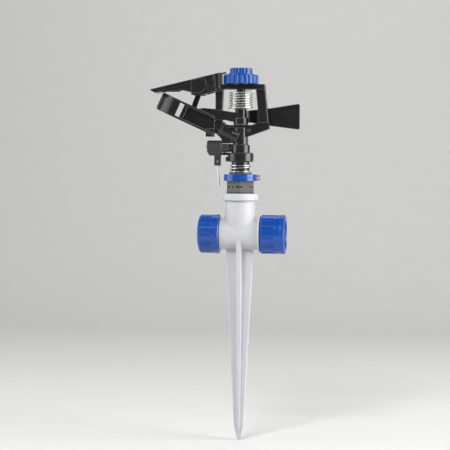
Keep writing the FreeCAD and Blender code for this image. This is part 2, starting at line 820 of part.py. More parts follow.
def make_nozzle():
    """The insert that forms the jet, held in the housing by its O-ring."""
    start, end = size("nozzle_seat_at"), size("nozzle_end")
    barrel = jet_cylinder("nozzle_blank", "nozzle_radius", start, end - 3.0)
    lip = jet_cone("nozzle_lip", "nozzle_radius", 3.7, end - 3.0, end)
    groove = cut(
        "nozzle_groove",
        jet_cylinder("nozzle_groove_outer", 6.0, start + 2.0, start + 3.4),
        jet_cylinder("nozzle_groove_inner", size("nozzle_radius") - 0.6, start + 1.9, start + 3.5),
    )
    bore = jet_cone("nozzle_bore", "water_radius", 2.2, start - 0.01, end + 0.01)
    return node("nozzle", cut("nozzle_done", fuse("nozzle_body", barrel, lip), groove, bore))


def make_nozzle_seal():
    """The O-ring in the nozzle's groove."""
    x, z = on_jet(size("nozzle_seat_at") + 2.7, 0.0)
    seal = ring("nozzle_seal_ring", size("nozzle_radius") - 0.28, 0.29, (x, 0, z), ALONG_JET)
    return node("nozzle_o_ring", seal)


def make_straightener():
    """The cross of vanes that calms the water behind the nozzle."""
    upright = jet_box("vane_upright", (-3.55, 3.55), (-0.4, 0.4), (5.5, 11.5))
    level = jet_box("vane_level", (-0.4, 0.4), (-3.55, 3.55), (5.5, 11.5))
    limit = jet_cylinder("vane_limit", 3.58, 5.4, 11.6)
    return node("flow_straightener", overlap("vanes", fuse("vane_cross", upright, level), limit))


# ---------------------------------------------------------------- drive arm


def arm_beam():
    """The arm seen from above, cut to its outline seen from the front."""
    front, back = size("beam_front"), size("beam_back")
    plan = padded("arm_plan", "XY_Plane", [
        (-50.0, -front), (-13.2, -front), (-2.0, -4.4), (3.0, -1.5), (13.5, back),
        ("weight_out", back), ("weight_out", size("weight_back") - 1.5),
        (size("weight_out") - 1.5, "weight_back"), (30.0, "weight_back"), (27.0, size(back) + 3.0),
        (12.2, size(back) + 3.0), (2.0, 4.4), (-3.0, 1.5), (-12.2, -back), (-50.0, -back),
    ], 400.0)
    side = padded("arm_side", "XZ_Plane", [
        (-40.0, 126.4), (-36.0, 127.2), (-32.6, 127.6), (-22.8, 126.7), (-7.0, 124.0), (0.0, 124.0),
        (9.0, 126.0), (26.8, 128.0), (51.5, 132.0), (52.6, 130.6), (52.6, 110.2), (51.5, 108.9),
        (26.8, 112.0), (9.0, 114.9), (0.0, 115.0), (-8.0, 115.4), (-12.6, 116.7), (-24.0, 116.8),
        (-36.0, 118.0),
    ], 60.0)
    return overlap("arm_beam", plan, side)


def spoon_channel():
    """The spoon: rails above and below the jet, the front tray, the window's pier and the bucket."""
    half, rail = size("channel_half"), size("rail")
    front, back = -size("rail_front"), size("rail_back")
    web_front, web_back = -size("beam_front"), -size("beam_back")
    out = size("channel_out")
    turn_in = size("bucket_in")
    rails = []
    for side, low, high in (("top", half - rail, half), ("low", -half, -half + rail)):
        rails.append(jet_box("rail_" + side, (low, high), (front, back), (20.0, turn_in)))
        end = jet_box("rail_end_" + side, (low, high), (front - 1.0, back), (turn_in - 0.5, out))
        rails.append(overlap("rail_turn_" + side, end, bucket_round("rail_round_" + side, "bucket_radius")))
    tray = jet_box("tray", (-half + 0.5, half - 0.5), (web_front, web_back), (20.0, "tray_out"))
    pier = jet_box("pier", (-half + 0.5, half - 0.5), (front + 1.0, web_back), ("tray_out", "window_in"))
    lug = box("arm_lug", (-30.4, front + 0.8, 101.8), (-22.0, web_back, 109.0))
    whole = fuse("channel_whole", tray, pier, bucket(), lug, *rails)
    trim = box("channel_trim", (-size("tray_in"), -40.0, 60.0), (20.0, 40.0, 200.0))
    post_trim = box("channel_post_trim", (-size("tray_in") - 2.8, web_back, 60.0), (20.0, 40.0, 200.0))
    return cut("channel", whole, trim, post_trim, *end_corners(half, out))


def bucket_round(name, radius):
    """A cylinder across the jet on the centre that the bucket is curved about."""
    x, z = on_jet(size("bucket_in") - 0.5, -20.0)
    return cylinder(name, radius, 40.0, (x, size("rail_back") + "bucket_back", z), ACROSS_JET)


def bucket():
    """The curved blade at the spoon's outer end that turns the jet aside."""
    half = size("channel_half") - 0.3
    block = jet_box(
        "bucket_block", (-half, half), (-size("rail_front") - 1.0, "rail_back"), ("bucket_in", "channel_out")
    )
    blade = overlap("bucket_full", block, bucket_round("bucket_outside", size("bucket_radius") - 0.05))
    return cut("bucket", blade, bucket_round("bucket_inside", size("bucket_radius") - 2.2))


def end_corners(half, out):
    """Wedges that take the sharp corners off the spoon's outer end."""
    wedges = []
    for side, sign in (("upper", 1.0), ("lower", -1.0)):
        near = on_jet(out - 2.0, half * sign + 0.01 * sign)
        far = on_jet(out + 0.01, (half - 2.0) * sign)
        corner = on_jet(out + 2.0, (half + 2.0) * sign)
        wedges.append(padded("spoon_%s_corner" % side, "XZ_Plane", [near, far, corner], 60.0))
    return wedges


def make_drive_arm():
    """The one-piece drive arm: hub, beam, counterweight and spoon."""
    hub = cylinder("hub", "hub_radius", size("hub_top") - "hub_low", (0, 0, "hub_low"))
    foot = cylinder("hub_foot", "hub_foot_radius", 5.4, (0, 0, "hub_low"))
    solid = fuse("arm_solid", hub, foot, arm_beam(), spoon_channel())
    bore = cylinder("hub_bore", size("pin_radius") + "fit_gap", 20.0, (0, 0, size("hub_low") - 2.0))
    return node("drive_arm", cut("arm_done", solid, bore))


def make_fulcrum_pin():
    """The pin between crossbar and top bar that the arm swings on."""
    return node("fulcrum_pin", cylinder(
        "fulcrum_body", "pin_radius", 38.3, (0, 0, size("bridge_top") - 3.4)
    ))


# ---------------------------------------------------------------- distance flap and knob


def make_range_flap():
    """The flap over the jet: roof and two cheeks, shield panel, leg and finger to the knob."""
    pin_x, pin_z = -size("flap_pin_x"), size("flap_pin_z")
    half, wall = size("flap_half"), size("flap_wall")
    outer = padded("flap_outer", "XZ_Plane", [
        (-81.3, 143.4), (-80.9, 144.2), (-17.6, 159.4), (-17.2, 144.6), (-22.4, 142.7),
        (-34.8, 139.0), (-44.0, 139.2), (-44.0, 141.7), (-54.3, 144.1), (-58.0, 142.7), (-68.9, 142.7),
        (-77.0, 141.1),
    ], half * 2.0)
    inner = padded("flap_inner", "XZ_Plane", [
        (-72.0, 138.0), (-72.0, 144.7), (-32.4, 154.2), (-32.4, 138.0),
    ], (half - wall) * 2.0)
    tongue_room = padded("flap_tongue_room", "XZ_Plane", [
        (-30.8, 138.0), (-30.8, 158.5), (-10.0, 165.0), (-10.0, 138.0),
    ], (size("tongue_half") + 0.4) * 2.0)
    shell = cut("flap_shell", outer, inner, tongue_room)
    panel = padded("flap_panel", "XZ_Plane", [
        (-44.0, 141.4), (-44.0, 152.2), (-34.0, 154.6), (-31.2, 153.0), (-30.2, 149.0), (-31.0, 145.0),
        (-35.5, 141.0),
    ], half * 2.0 + 1.6)
    rib = padded("flap_rib", "XZ_Plane", [
        (-24.8, 157.4), (-23.4, 157.8), (-21.2, 143.6), (-22.6, 143.2),
    ], half * 2.0 + 1.4)
    edge_rib = padded("flap_edge_rib", "XZ_Plane", [
        (-19.4, 158.6), (-18.4, 158.8), (-18.2, 145.2), (-19.2, 144.9),
    ], half * 2.0 + 0.8)
    bumps = [cylinder(
        "flap_bump_%d" % count, 0.9, half * 2.0, (-37.4 + count * 3.4, -half, 154.0 + count * 0.82), ALONG_Y
    ) for count in range(2)]
    panel_core = box("panel_core", (-50.0, -half + 0.5, 130.0), (-15.0, half - 0.5, 170.0))
    panels = cut("flap_panels", fuse("flap_raised", panel, rib, edge_rib), panel_core)
    leg_top, leg_low = on_jet(52.0, 24.0), on_jet(50.0, 2.0)
    leg = padded("flap_leg_slab", "XZ_Plane", [
        (leg_low[0] - 3.8, leg_low[1] - 1.0), (leg_top[0] - 3.2, leg_top[1] - 1.0),
        (leg_top[0] + 2.2, leg_top[1] + 1.0), (leg_low[0] + 2.2, leg_low[1] + 1.0),
    ], 60.0)
    leg_keep = box("leg_keep", (-60.0, size("rail_back") + 1.0, 100.0), (-20.0, half - 0.9, 147.0))
    finger = padded("flap_finger", "XZ_Plane", [
        (-32.6, 147.4), (-9.6, 147.4), (-9.6, 152.8), (-6.0, 152.8), (-6.0, 154.2), (-11.2, 154.2),
        (-11.2, 149.0), (-32.6, 149.0),
    ], 2.2)
    solid = fuse("flap_solid", shell, panels, overlap("flap_leg", leg, leg_keep), finger, *bumps)
    hole = cylinder(
        "flap_hole", size("flap_pin_radius") + "fit_gap", 30.0, (pin_x, -15.0, pin_z), ALONG_Y
    )
    return node("range_flap", cut("flap_done", solid, hole))


def make_range_knob():
    """The two-step fluted knob, hollow underneath, with a tilted groove round its hub."""
    low, step, top = size("knob_low"), size("knob_step"), size("knob_top")
    big, small = size("knob_radius"), size("knob_small")
    shell = turned("knob_shell", [
        (7.2, low + 1.0), (big - 1.7, low), (big - 0.4, low), (big, low + 0.5), (big, step - 0.7),
        (big - 0.7, step), (small + 1.3, step), (small + 1.3, step + 1.0),
        (small, step + 1.5), (small, top - 0.6), (small - 0.6, top), (4.0, top),
        (4.0, top - 4.0), (1.5, top - 4.0), (1.5, top - 6.6), (7.2, top - 6.6),
    ])
    hub = cylinder("knob_hub", 7.4, top - 1.0 - low - 0.6, (0, 0, low + 0.3))
    flutes = round_about("knob_flutes", lambda label, angle: flute(
        label, angle, big + "flute_out", "flute_radius", low - 1.0, step - low + 0.2
    ), DIMENSIONS["flute_count"])
    small_flutes = round_about("knob_small_flutes", lambda label, angle: flute(
        label, angle, small + "small_flute_out", "small_flute_radius", step + 1.5, top - step
    ), DIMENSIONS["small_flute_count"])
    room = cut(
        "knob_room",
        cylinder("knob_room_outer", big - 1.9, step - low - 1.5, (0, 0, low - 0.1)),
        cylinder("knob_room_inner", 7.2, step - low, (0, 0, low - 0.2)),
    )
    tilt_axis = Rotation(Vector(0, 0, 1), 120.0).multVec(Vector(1, 0, 0))
    groove_disc = cylinder(
        "groove_disc", 9.0, 2.9, (0, 0, 150.85), Rotation(tilt_axis, DIMENSIONS["groove_tilt"])
    )
    groove_core = cylinder("groove_core", 4.4, 20.0, (0, 0, 145.0))
    groove = cut("knob_groove", groove_disc, groove_core)
    post_room = cylinder("knob_post_room", size("knob_post") + "fit_gap", 7.2, (0, 0, low - 0.5))
    screw_room = cylinder("knob_screw_room", 1.6, 20.0, (0, 0, low))
    head_room = cylinder("knob_head_room", 4.0, 10.0, (0, 0, top - 4.0))
    solid = fuse("knob_solid", shell, hub)
    done = cut("knob_done", solid, flutes, small_flutes, room, groove, post_room, screw_room, head_room)
    return node("range_knob", done)


def make_knob_screw():
    """The screw that holds the knob down on its post."""
    head = cylinder("screw_head", 3.6, 2.0, (0, 0, size("knob_top") - 3.9))
    shank = cylinder("screw_shank", "screw_radius", 9.6, (0, 0, size("knob_top") - 13.0))
    drive = box("screw_drive", (-3.0, -0.45, size("knob_top") - 2.7), (3.0, 0.45, "knob_top"))
    cross = box("screw_cross", (-0.45, -3.0, size("knob_top") - 2.7), (0.45, 3.0, "knob_top"))
    return node("knob_screw", cut("screw_done", fuse("screw_solid", head, shank), drive, cross))


def make_flap_pin():
    """The headed pin that the distance flap turns on."""
    at = (-size("flap_pin_x"), -size("flap_half") - 1.3, "flap_pin_z")
    shank = cylinder("flap_pin_shank", "flap_pin_radius", size("flap_half") * 2.0 + 2.0, at, ALONG_Y)
    head = cylinder("flap_pin_head", 2.3, 1.1, at, ALONG_Y)
    return node("flap_pin", fuse("flap_pin_done", shank, head))


# ---------------------------------------------------------------- trip mechanism


def make_trip_lever():
    """The lever that reverses the head: block, round neck and the holder of the trip pin."""
    half = size("trip_half")
    inner, outer = -size("trip_in"), -size("trip_out")
    block = padded("trip_block", "XZ_Plane", [
        (outer, 88.7), (outer + 2.0, 85.0), (inner, 85.0), (inner, 98.6), (outer + 1.0, 98.6),
        (outer, 97.6),
    ], half * 2.0)
    section = padded("trip_section", "YZ_Plane", [
        (-half, 87.5), (-3.2, 85.0), (3.2, 85.0), (half, 87.5), (half, 96.4), (3.2, 98.6), (-3.2, 98.6),
        (-half, 96.4),
    ], 80.0)
    neck = cylinder("trip_neck_part", "trip_neck", size("trip_in") - 10.6, (inner, 0, "trip_axis"), ALONG_X)
    square = box("trip_square", (inner - 1.0, -4.6, 90.1), (inner + 6.7, 4.6, 95.7))
    recess = box("trip_recess", (inner + 0.7, -5.6, 90.9), (inner + 5.9, -4.0, 94.9))
    holder = box("trip_holder", (-23.6, -2.9, 76.0), (-17.9, 2.9, 86.0))
    solid = fuse("trip_solid", overlap("trip_body", block, section), neck, square, holder)
    pivot = cylinder(
        "trip_bore", size("pivot_radius") + "fit_gap", 24.0, (outer - 1.0, 0, "trip_axis"), ALONG_X
    )
    slot = box("trip_slot", (-24.6, -1.35, 75.0), (-18.9, 1.35, 81.6))
    wire_hole = cylinder("trip_wire_hole", 0.78, 8.0, (-size("wire_x"), -4.0, "wire_pivot"), ALONG_Y)
    return node("trip_lever", cut("trip_done", solid, pivot, slot, wire_hole, recess))


def make_trip_pin():
    """The steel wire that meets the stop tabs; its cross wire lets it fold up."""
    lean = Rotation(Vector(0, 1, 0), 176.1)
    at = (-size("wire_x"), 0, "wire_pivot")
    leg = cone("wire_leg", "wire_top_radius", "wire_foot_radius", "wire_length", at, lean)
    cross = cylinder("wire_cross", 0.7, 6.4, (-size("wire_x"), -3.2, "wire_pivot"), ALONG_Y)
    eye = cylinder("wire_eye", 1.3, 2.0, (-size("wire_x"), -1.0, "wire_pivot"), ALONG_Y)
    return node("trip_pin", fuse("wire_done", leg, cross, eye))


def make_trip_pivot():
    """The headed pin, fixed in the column, that the trip lever rocks on."""
    start = -size("trip_out") - 1.4
    shank = cylinder("pivot_shank", "pivot_radius", 25.6, (start, 0, "trip_axis"), ALONG_X)
    head = cylinder("pivot_head", 2.4, 1.1, (start, 0, "trip_axis"), ALONG_X)
    return node("trip_pivot", fuse("pivot_done", shank, head))


# ---------------------------------------------------------------- the whole object


def build():
    """Make every sub-part."""
    make_spike()
    make_base_tee()
    make_tailpiece()
    make_coupling()
    washer("hose_washer", "X", 7.8, 12.9, size("coupling_in") + 7.6, size("coupling_in") + 10.6)
    make_cap()
    washer("cap_washer", "X", 9.0, 13.1, -size("cap_in") - "port_length" - 1.8,
           -size("cap_in") - "port_length" - 0.1)
    washer("nut_gasket", "Z", "riser_bore", 12.6, size("collar_top") + 0.02, size("nut_low") - 0.02)
    make_bearing_nut()
    make_stop_collar("lower", "stop_low")
    make_stop_collar("upper", size("stop_low") + "stop_height" + 0.12)
    make_bearing_tube()
    flange_top = size("nut_low") - "nut_spigot" - 2.0
    washer("bearing_seal", "Z", size("tube_radius") + 0.02, 8.8, flange_top + 0.02, flange_top + 0.92)
    washer("thrust_washer", "Z", size("tube_radius") + 0.1, 8.8, flange_top + 1.02, flange_top + 1.98)
    washer("spring_washer", "Z", size("sleeve_radius") + 0.02, 9.7, 75.95, 76.55)
    node("bearing_spring", coil(
        "bearing_coil", 9.3, "bearing_wire", size("seat_top") + 0.65, 75.35, 4
    ))
    make_head_body()
    make_nozzle()
    make_nozzle_seal()
    make_straightener()
    make_fulcrum_pin()
    washer("arm_washer_lower", "Z", size("pin_radius") + 0.02, 6.4, size("bridge_top") + 0.02,
           size("hub_low") - 0.1)
    washer("arm_washer_upper", "Z", size("pin_radius") + 0.02, 6.2, size("hub_top") + 0.1,
           size("hub_top") + 0.7)
    node("arm_spring", coil(
        "arm_coil", "coil_radius", "coil_wire", "coil_low", "coil_top", DIMENSIONS["coil_halves"]
    ))
    make_drive_arm()
    make_range_flap()
    make_flap_pin()
    make_range_knob()
    make_knob_screw()
    make_trip_lever()
    make_trip_pivot()
    make_trip_pin()
    node("trip_spring", coil(
        "trip_coil", "trip_coil_radius", "trip_coil_wire",
        size("cup_floor") + "trip_coil_wire" + 0.02, 88.6, 5, (-size("trip_coil_x"), "trip_coil_y"),
    ))


def check_document():
    """Stop if any object failed or any sub-part isn't one valid shape."""
    for item in doc.Objects:
        bad = [state for state in item.State if state in ("Invalid", "Error")]
        if bad:
            raise RuntimeError("%s (%s) is %s" % (item.Name, item.Label, bad))
    for name, item in NODES.items():
        shape = item.Shape
        if shape.isNull() or not shape.isValid():
            raise RuntimeError("%s has no valid shape" % name)
        if len(shape.Solids) != 1:
            raise RuntimeError("%s is %d solids" % (name, len(shape.Solids)))


build()
doc.recompute()
check_document()
os.makedirs("parts", exist_ok=True)
for name, item in NODES.items():
    item.Shape.exportStep("parts/%s.step" % name)
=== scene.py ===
import math

import bmesh
import bpy
from mathutils import Matrix, Vector


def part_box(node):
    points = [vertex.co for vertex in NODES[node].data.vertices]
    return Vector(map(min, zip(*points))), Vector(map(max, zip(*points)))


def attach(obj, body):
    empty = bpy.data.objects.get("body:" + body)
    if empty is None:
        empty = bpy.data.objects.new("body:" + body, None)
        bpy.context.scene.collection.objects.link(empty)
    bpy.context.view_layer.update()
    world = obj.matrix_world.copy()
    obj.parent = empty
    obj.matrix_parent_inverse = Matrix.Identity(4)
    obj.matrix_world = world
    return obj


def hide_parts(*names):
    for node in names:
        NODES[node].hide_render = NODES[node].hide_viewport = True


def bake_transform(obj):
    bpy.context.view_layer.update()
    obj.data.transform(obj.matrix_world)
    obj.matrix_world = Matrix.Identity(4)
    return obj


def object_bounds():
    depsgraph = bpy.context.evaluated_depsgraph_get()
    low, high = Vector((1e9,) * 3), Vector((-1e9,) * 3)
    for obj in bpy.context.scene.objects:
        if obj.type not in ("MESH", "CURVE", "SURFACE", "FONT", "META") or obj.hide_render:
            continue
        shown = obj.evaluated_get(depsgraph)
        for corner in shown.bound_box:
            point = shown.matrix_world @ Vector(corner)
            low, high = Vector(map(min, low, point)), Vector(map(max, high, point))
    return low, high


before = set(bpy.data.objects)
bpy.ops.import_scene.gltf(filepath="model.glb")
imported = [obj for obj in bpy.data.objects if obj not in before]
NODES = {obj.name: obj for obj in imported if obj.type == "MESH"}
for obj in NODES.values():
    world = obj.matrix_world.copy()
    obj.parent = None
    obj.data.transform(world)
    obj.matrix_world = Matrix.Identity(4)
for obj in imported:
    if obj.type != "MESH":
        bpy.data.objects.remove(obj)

cad_low, cad_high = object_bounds()

MM = 0.001
BARREL_Z = (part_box("end_cap")[0].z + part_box("end_cap")[1].z) / 2

BEVEL_SAMPLES = 6
# The cosine between the flat and the rounded normal where an edge begins, and where it is full.
EDGE_BEGINS, EDGE_FULL = 0.99, 0.80
# The sockets of a Mix node that mixes colours.
MIX_SHARE, MIX_FIRST, MIX_SECOND, MIX_RESULT = 0, 6, 7, 2
# The range that holds most of a noise's values.
NOISE_LOW, NOISE_HIGH = 0.3, 0.7
PLASTIC_IOR = 1.5

STEPS_PER_TURN = 24
SPRING_WIRE = 0.55 * MM
TRIP_WIRE = 0.25 * MM
THREAD_RIDGE = 0.55 * MM


# ---------------------------------------------------------------- materials


class Tree:
    """Adds nodes to one material, and keeps its object coordinates and its shader at hand."""

    def __init__(self, name):
        self.material = bpy.data.materials.new(name)
        self.material.use_nodes = True
        self.nodes = self.material.node_tree.nodes
        self.links = self.material.node_tree.links
        self.shader = self.nodes["Principled BSDF"]
        self.place = self.nodes.new("ShaderNodeTexCoord").outputs["Object"]

    def add(self, kind, inputs=None, **settings):
        """A node with its settings, and its inputs given as values or as outputs to link."""
        made = self.nodes.new("ShaderNode" + kind)
        for key, value in settings.items():
            setattr(made, key, value)
        for key, value in (inputs or {}).items():
            self.feed(made.inputs[key], value)
        return made

    def feed(self, socket, value):
        """Links an output to a socket, or sets the socket's own value."""
        if isinstance(value, bpy.types.NodeSocket):
            self.links.new(value, socket)
        else:
            socket.default_value = value

    def stretched(self, stretch):
        """Object coordinates scaled by a factor along each axis."""
        return self.add("Mapping", {"Vector": self.place, "Scale": stretch}).outputs["Vector"]

    def noise(self, per_metre, detail=3.0, stretch=(1.0, 1.0, 1.0), distortion=0.0):
        """Noise from 0 to 1 with so many features to the metre."""
        return self.add("TexNoise", {
            "Vector": self.stretched(stretch), "Scale": per_metre, "Detail": detail,
            "Distortion": distortion,
        }).outputs["Fac"]

    def spread(self, value, low=NOISE_LOW, high=NOISE_HIGH, to_low=0.0, to_high=1.0):
        """A value's range from low to high, spread over another range and clamped."""
        return self.add("MapRange", {
            "Value": value, "From Min": low, "From Max": high, "To Min": to_low, "To Max": to_high,
        }).outputs["Result"]

    def maths(self, operation, first, second):
        """One Math node."""
        return self.add("Math", {0: first, 1: second}, operation=operation).outputs["Value"]

    def scaled(self, value, factor):
        """A value times a factor."""
        return self.maths("MULTIPLY", value, factor)

    def mixed(self, share, first, second):
        """A colour between two."""
        mix = self.nodes.new("ShaderNodeMix")
        mix.data_type = "RGBA"
        self.feed(mix.inputs[MIX_SHARE], share)
        self.feed(mix.inputs[MIX_FIRST], first)
        self.feed(mix.inputs[MIX_SECOND], second)
        return mix.outputs[MIX_RESULT]

    def rounded_normal(self, radius):
        """The surface's normal with its edges rounded to a radius."""
        return self.add("Bevel", {"Radius": radius}, samples=BEVEL_SAMPLES).outputs["Normal"]

    def edge_share(self, normal):
        """1 on the edges that the rounded normal softens, and 0 away from them."""
        plain = self.add("NewGeometry").outputs["Normal"]
        dot = self.add("VectorMath", {0: normal, 1: plain}, operation="DOT_PRODUCT").outputs["Value"]
        return self.spread(dot, EDGE_BEGINS, EDGE_FULL)

    def bumped(self, height, distance, strength, normal):
        """A normal with a height pattern on top of it."""
        return self.add("Bump", {
            "Height": height, "Distance": distance, "Strength": strength, "Normal": normal,
        }).outputs["Normal"]

    def set(self, **values):
        """Sets the shader's sockets, written with underscores for spaces."""
        for key, value in values.items():
            self.feed(self.shader.inputs[key.replace("_", " ")], value)
        return self.material


def colour(red, green, blue):
    """An opaque colour."""
    return (red, green, blue, 1.0)


def moulded(name, dark, light, edge, rough, coat=0.0, edge_radius=0.35 * MM, edge_highlight_and_wear=0.55,
            specular=0.5, grain=0.004 * MM):
    """Injection-moulded plastic: cloudy tone, fine grain, faint scuffs and softened edges whose colour
    is lightened as a painted highlight, partly as rubbed wear.
    """
    tree = Tree(name)
    cloud = tree.noise(45.0, detail=4.0, distortion=0.6)
    flow = tree.noise(160.0, detail=2.0, stretch=(1.0, 1.0, 0.12))
    fine = tree.noise(2600.0, detail=2.0)
    scuff = tree.noise(900.0, detail=5.0, stretch=(0.15, 1.0, 2.2))
    scuffs = tree.spread(scuff, 0.60, 0.72)
    rounded = tree.rounded_normal(edge_radius)
    edge_highlight_mask = tree.edge_share(rounded)
    tone = tree.mixed(tree.spread(cloud), dark, light)
    tone = tree.mixed(tree.scaled(tree.spread(flow, 0.35, 0.75), 0.35), tone, light)
    # Edges mixed towards the lighter edge colour: painted highlight, partly rubbed wear.
    tone = tree.mixed(tree.scaled(edge_highlight_mask, edge_highlight_and_wear), tone, edge)
    patchy = tree.spread(cloud, 0.25, 0.75, rough - 0.04, rough + 0.05)
    worn = tree.maths("ADD", patchy, tree.scaled(scuffs, 0.10))
    grained = tree.maths("ADD", worn, tree.spread(fine, to_low=-0.02, to_high=0.02))
    height = tree.maths("SUBTRACT", fine, tree.scaled(scuffs, 0.6))
    return tree.set(
        Base_Color=tone, Roughness=grained, Normal=tree.bumped(height, grain, 0.5, rounded),
        IOR=PLASTIC_IOR, Specular_IOR_Level=specular, Coat_Weight=coat, Coat_Roughness=0.12,
    )


def brushed_blade(name, dark, light, edge, rough):
    """Black plastic polished in one direction, for the drive arm and its spoon."""
    tree = Tree(name)
    lines = tree.noise(1400.0, stretch=(0.06, 1.0, 1.0))
    cloud = tree.noise(60.0)
    rounded = tree.rounded_normal(0.55 * MM)
    tone = tree.mixed(tree.spread(cloud), dark, light)
    # Edges mixed towards the lighter edge colour: a painted highlight along the rails and rims.
    tone = tree.mixed(tree.scaled(tree.edge_share(rounded), 0.8), tone, edge)
    return tree.set(
        Base_Color=tone, Roughness=tree.spread(lines, to_low=rough - 0.05, to_high=rough + 0.08),
        Normal=tree.bumped(lines, 0.006 * MM, 0.5, rounded), IOR=PLASTIC_IOR,
    )


def drawn_steel(name, tone, rough):
    """Drawn wire or turned pin: bright metal with fine lines and a little staining."""
    tree = Tree(name)
    lines = tree.noise(3000.0, detail=2.0, stretch=(1.0, 1.0, 0.2))
    stain = tree.noise(350.0, detail=4.0)
    stained = tree.spread(stain, 0.55, 0.8)
    base = tree.mixed(tree.scaled(stained, 0.5), tone, colour(0.33, 0.31, 0.28))
    return tree.set(
        Base_Color=base, Metallic=1.0,
        Roughness=tree.maths("ADD", tree.spread(lines, to_low=rough - 0.05, to_high=rough + 0.07),
                             tree.scaled(stained, 0.12)),
        Normal=tree.bumped(lines, 0.004 * MM, 0.4, tree.rounded_normal(0.12 * MM)),
    )


def soft_rubber(name):
    """Dull black rubber with a bloom of dust."""
    tree = Tree(name)
    bloom = tree.noise(700.0, detail=5.0)
    fine = tree.noise(4000.0, detail=2.0)
    return tree.set(
        Base_Color=tree.mixed(tree.spread(bloom, 0.45, 0.8), colour(0.012, 0.012, 0.013),
                              colour(0.045, 0.043, 0.04)),
        Roughness=tree.spread(bloom, 0.3, 0.8, 0.6, 0.85),
        Normal=tree.bumped(fine, 0.01 * MM, 0.6, tree.rounded_normal(0.25 * MM)),
    )


def nylon(name):
    """Milky nylon, slightly translucent."""
    tree = Tree(name)
    cloud = tree.noise(200.0, detail=4.0)
    fine = tree.noise(3200.0, detail=2.0)
    return tree.set(
        Base_Color=tree.mixed(tree.spread(cloud), colour(0.66, 0.64, 0.58),
                              colour(0.76, 0.75, 0.71)),
        Roughness=tree.spread(fine, to_low=0.36, to_high=0.46), Subsurface_Weight=0.12,
        Subsurface_Scale=0.002,
        Normal=tree.bumped(fine, 0.005 * MM, 0.5, tree.rounded_normal(0.25 * MM)),
    )


# The third colour of each finish is its lighter edge colour: a painted highlight on the edges, partly
# rubbed wear.
GREY = moulded("grey_moulding", colour(0.465, 0.465, 0.492), colour(0.505, 0.505, 0.530),
               colour(0.72, 0.72, 0.74), 0.46, edge_radius=0.6 * MM)
BLUE = moulded("blue_moulding", colour(0.001, 0.044, 0.25), colour(0.002, 0.058, 0.31),
               colour(0.09, 0.24, 0.62), 0.22, coat=0.15, edge_radius=0.5 * MM, edge_highlight_and_wear=0.6)
BLACK = moulded("black_moulding", colour(0.006, 0.006, 0.0066), colour(0.010, 0.010, 0.0108),
                colour(0.24, 0.24, 0.245), 0.27, coat=0.2, edge_radius=0.5 * MM, edge_highlight_and_wear=0.75)
MATT = moulded("matt_black_moulding", colour(0.024, 0.024, 0.025), colour(0.036, 0.036, 0.0375),
               colour(0.22, 0.22, 0.22), 0.4, edge_radius=0.5 * MM, edge_highlight_and_wear=0.7)
SATIN = moulded("satin_moulding", colour(0.055, 0.055, 0.057), colour(0.075, 0.075, 0.077),
                colour(0.20, 0.20, 0.20), 0.42)
SPOON = brushed_blade("polished_arm", colour(0.007, 0.007, 0.0075), colour(0.012, 0.012, 0.013),
                      colour(0.30, 0.30, 0.305), 0.22)
WIRE = drawn_steel("drawn_wire", colour(0.74, 0.73, 0.70), 0.27)
PIN = drawn_steel("bright_pin", colour(0.90, 0.89, 0.87), 0.32)
RUBBER = soft_rubber("seal_rubber")
NYLON = nylon("milky_nylon")

FINISHES = {
    "spike": GREY, "base_tee": GREY,
    "swivel_coupling": BLUE, "end_cap": BLUE, "stop_collar_lower": BLUE, "stop_collar_upper": BLUE,
    "range_knob": BLUE,
    "head_body": BLACK, "fulcrum_pin": BLACK, "range_flap": BLACK, "trip_lever": MATT,
    "drive_arm": SPOON,
    "bearing_nut": SATIN, "nozzle": SATIN, "flow_straightener": SATIN,
    "stop_tab_lower": BLACK, "stop_tab_upper": BLACK,
    "arm_washer_lower": SATIN, "arm_washer_upper": SATIN, "thrust_washer": NYLON,
    "swivel_tailpiece": NYLON, "bearing_tube": NYLON,
    "hose_washer": RUBBER, "cap_washer": RUBBER, "nut_gasket": RUBBER, "bearing_seal": RUBBER,
    "nozzle_o_ring": RUBBER,
    "bearing_spring": WIRE, "arm_spring": WIRE, "trip_spring": WIRE, "spring_washer": WIRE,
    "flap_pin": BLACK, "knob_screw": PIN, "trip_pivot": PIN, "trip_pin": PIN,
}


def finish_nodes():
    """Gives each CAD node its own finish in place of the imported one."""
    for name, piece in NODES.items():
        piece.data.materials.clear()
        piece.data.materials.append(FINISHES[name])


# ---------------------------------------------------------------- wires


def wire(name, points, radius, material, roundness=4):
    """A round wire through the points, as a mesh. A higher roundness gives it more sides."""
    curve = bpy.data.curves.new(name + "_path", "CURVE")
    curve.dimensions = "3D"
    curve.bevel_depth = radius
    curve.bevel_resolution = roundness
    curve.use_fill_caps = True
    curve.resolution_u = 3
    spline = curve.splines.new("NURBS")
    spline.points.add(len(points) - 1)
    for point, at in zip(spline.points, points):
        point.co = (*at, 1.0)
    spline.order_u = 4
    spline.use_endpoint_u = True
    drawn = bpy.data.objects.new(name + "_curve", curve)
    bpy.context.scene.collection.objects.link(drawn)
    depsgraph = bpy.context.evaluated_depsgraph_get()
    mesh = bpy.data.meshes.new_from_object(drawn.evaluated_get(depsgraph))
    bpy.data.objects.remove(drawn)
    mesh.name = name
    mesh.materials.clear()
    mesh.materials.append(material)
    for face in mesh.polygons:
        face.use_smooth = True
    piece = bpy.data.objects.new(name, mesh)
    bpy.context.scene.collection.objects.link(piece)
    return piece


def helix(centre, radius, low, top, turns, start=0.0, per_turn=STEPS_PER_TURN):
    """Points of a coil about an upright axis. start is its first angle in degrees.

    radius is a number, or a function of the share of the coil that lies below the point.
    """
    count = int(turns * per_turn)
    points = []
    for step in range(count + 1):
        share = step / count
        angle = math.radians(start) + share * turns * math.tau
        reach = radius(share) if callable(radius) else radius
        points.append(Vector((
            centre[0] + reach * math.cos(angle), centre[1] + reach * math.sin(angle),
            low + share * (top - low),
        )))
    return points


